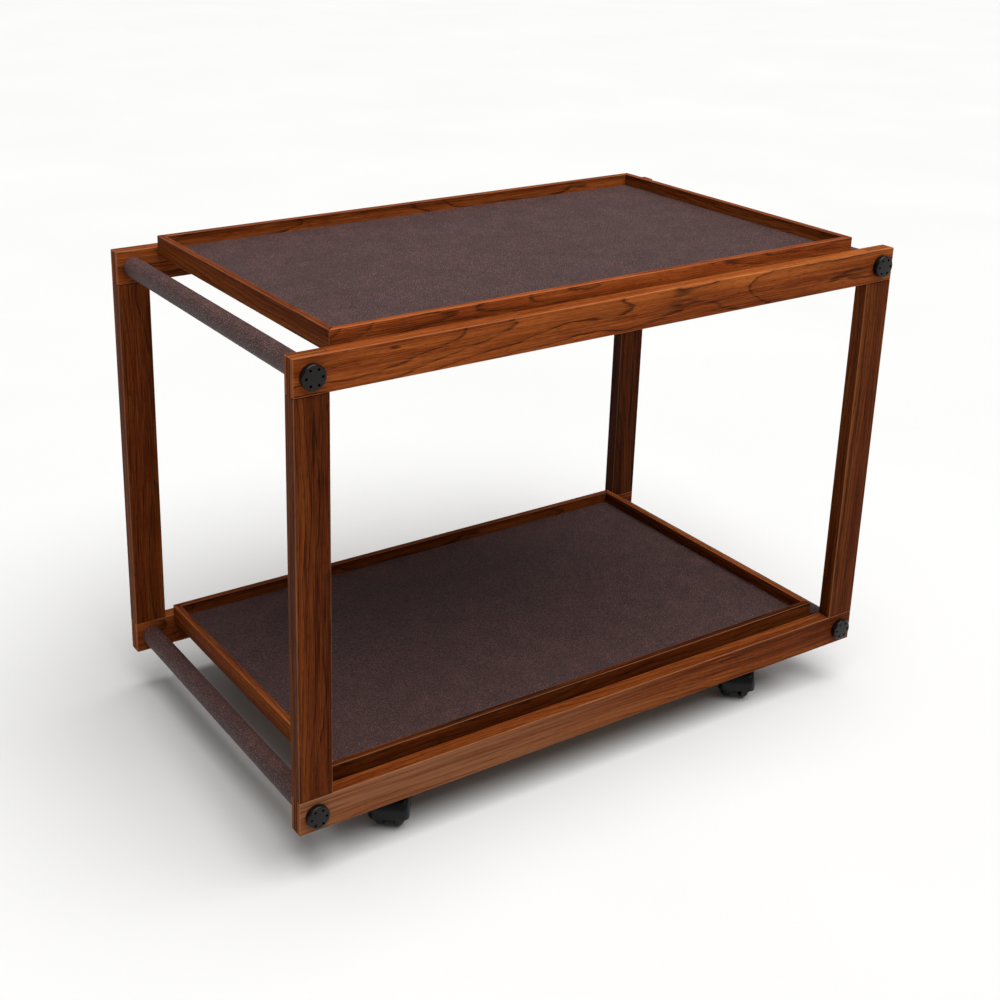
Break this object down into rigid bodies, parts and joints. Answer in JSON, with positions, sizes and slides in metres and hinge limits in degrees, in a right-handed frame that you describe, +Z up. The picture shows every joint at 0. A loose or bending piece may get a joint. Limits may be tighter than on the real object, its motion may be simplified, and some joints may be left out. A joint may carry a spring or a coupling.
{
  "type": "two-tier serving cart",
  "caption": "Rolling two-tier serving cart: bolted wooden side frames, leather-wrapped crossbars, lift-out leather-lined trays and twin-wheel castors.",
  "frame": {"origin": "on the floor, below the middle of the cart", "axes": "+X along the cart's length to its right end, +Y to its back, +Z up"},
  "size_m": [0.914, 0.5294, 0.6725],
  "materials": {
    "walnut": "oiled, satin",
    "plywood": "bare",
    "dark_leather": "pebbled, low sheen",
    "bronzed_steel": "dark, satin",
    "zinc_steel": "zinc plated",
    "black_plastic": "moulded, satin",
    "wheel_plastic": "moulded, matte"
  },
  "bodies": {
    "frame": {"top_front_rail": "walnut", "bottom_front_rail": "walnut", "front_left_leg": "walnut", "front_right_leg": "walnut", "top_back_rail": "walnut", "bottom_back_rail": "walnut", "back_left_leg": "walnut", "back_right_leg": "walnut", "top_left_crossbar": "walnut", "top_left_leather_sleeve": "dark_leather", "top_front_left_bolt": "bronzed_steel", "top_back_left_bolt": "bronzed_steel", "bottom_left_crossbar": "walnut", "bottom_left_leather_sleeve": "dark_leather", "bottom_front_left_bolt": "bronzed_steel", "bottom_back_left_bolt": "bronzed_steel", "top_right_crossbar": "walnut", "top_right_leather_sleeve": "dark_leather", "top_front_right_bolt": "bronzed_steel", "top_back_right_bolt": "bronzed_steel", "bottom_right_crossbar": "walnut", "bottom_right_leather_sleeve": "dark_leather", "bottom_front_right_bolt": "bronzed_steel", "bottom_back_right_bolt": "bronzed_steel", "top_front_tray_cleat": "walnut", "top_back_tray_cleat": "walnut", "bottom_front_tray_cleat": "walnut", "bottom_back_tray_cleat": "walnut", "left_castor_bearer": "walnut", "right_castor_bearer": "walnut", "front_left_castor_plate": "zinc_steel", "front_right_castor_plate": "zinc_steel", "back_left_castor_plate": "zinc_steel", "back_right_castor_plate": "zinc_steel"},
    "upper_tray": {"upper_tray_front_side": "walnut", "upper_tray_back_side": "walnut", "upper_tray_left_end": "walnut", "upper_tray_right_end": "walnut", "upper_tray_base": "plywood", "upper_tray_leather": "dark_leather"},
    "lower_tray": {"lower_tray_front_side": "walnut", "lower_tray_back_side": "walnut", "lower_tray_left_end": "walnut", "lower_tray_right_end": "walnut", "lower_tray_base": "plywood", "lower_tray_leather": "dark_leather"},
    "front_left_castor": {"front_left_castor_hood": "black_plastic"},
    "front_left_wheel_a_body": {"front_left_wheel_a": "wheel_plastic"},
    "front_left_wheel_b_body": {"front_left_wheel_b": "wheel_plastic"},
    "front_right_castor": {"front_right_castor_hood": "black_plastic"},
    "front_right_wheel_a_body": {"front_right_wheel_a": "wheel_plastic"},
    "front_right_wheel_b_body": {"front_right_wheel_b": "wheel_plastic"},
    "back_left_castor": {"back_left_castor_hood": "black_plastic"},
    "back_left_wheel_a_body": {"back_left_wheel_a": "wheel_plastic"},
    "back_left_wheel_b_body": {"back_left_wheel_b": "wheel_plastic"},
    "back_right_castor": {"back_right_castor_hood": "black_plastic"},
    "back_right_wheel_a_body": {"back_right_wheel_a": "wheel_plastic"},
    "back_right_wheel_b_body": {"back_right_wheel_b": "wheel_plastic"}
  },
  "joints": [
    {"name": "upper_tray_lift", "type": "slide", "parent": "frame", "child": "upper_tray", "axis": [0, 0, 1], "range_m": [0, 0.2]},
    {"name": "lower_tray_lift", "type": "slide", "parent": "frame", "child": "lower_tray", "axis": [0, 0, 1], "range_m": [0, 0.45]},
    {"name": "front_left_swivel", "type": "hinge", "parent": "frame", "child": "front_left_castor", "pos_m": [-0.292, -0.194, 0.04], "axis": [0, 0, 1], "continuous": true},
    {"name": "front_left_wheel_a_spin", "type": "hinge", "parent": "front_left_castor", "child": "front_left_wheel_a_body", "pos_m": [-0.30493, -0.2118, 0.02479], "axis": [0.809, -0.5878, 0], "continuous": true},
    {"name": "front_left_wheel_b_spin", "type": "hinge", "parent": "front_left_castor", "child": "front_left_wheel_b_body", "pos_m": [-0.30493, -0.2118, 0.02479], "axis": [0.809, -0.5878, 0], "continuous": true},
    {"name": "front_right_swivel", "type": "hinge", "parent": "frame", "child": "front_right_castor", "pos_m": [0.292, -0.194, 0.04], "axis": [0, 0, 1], "continuous": true},
    {"name": "front_right_wheel_a_spin", "type": "hinge", "parent": "front_right_castor", "child": "front_right_wheel_a_body", "pos_m": [0.27907, -0.2118, 0.02479], "axis": [0.809, -0.5878, 0], "continuous": true},
    {"name": "front_right_wheel_b_spin", "type": "hinge", "parent": "front_right_castor", "child": "front_right_wheel_b_body", "pos_m": [0.27907, -0.2118, 0.02479], "axis": [0.809, -0.5878, 0], "continuous": true},
    {"name": "back_left_swivel", "type": "hinge", "parent": "frame", "child": "back_left_castor", "pos_m": [-0.292, 0.194, 0.04], "axis": [0, 0, 1], "continuous": true},
    {"name": "back_left_wheel_a_spin", "type": "hinge", "parent": "back_left_castor", "child": "back_left_wheel_a_body", "pos_m": [-0.30493, 0.1762, 0.02479], "axis": [0.809, -0.5878, 0], "continuous": true},
    {"name": "back_left_wheel_b_spin", "type": "hinge", "parent": "back_left_castor", "child": "back_left_wheel_b_body", "pos_m": [-0.30493, 0.1762, 0.02479], "axis": [0.809, -0.5878, 0], "continuous": true},
    {"name": "back_right_swivel", "type": "hinge", "parent": "frame", "child": "back_right_castor", "pos_m": [0.292, 0.194, 0.04], "axis": [0, 0, 1], "continuous": true},
    {"name": "back_right_wheel_a_spin", "type": "hinge", "parent": "back_right_castor", "child": "back_right_wheel_a_body", "pos_m": [0.27907, 0.1762, 0.02479], "axis": [0.809, -0.5878, 0], "continuous": true},
    {"name": "back_right_wheel_b_spin", "type": "hinge", "parent": "back_right_castor", "child": "back_right_wheel_b_body", "pos_m": [0.27907, 0.1762, 0.02479], "axis": [0.809, -0.5878, 0], "continuous": true}
  ]
}
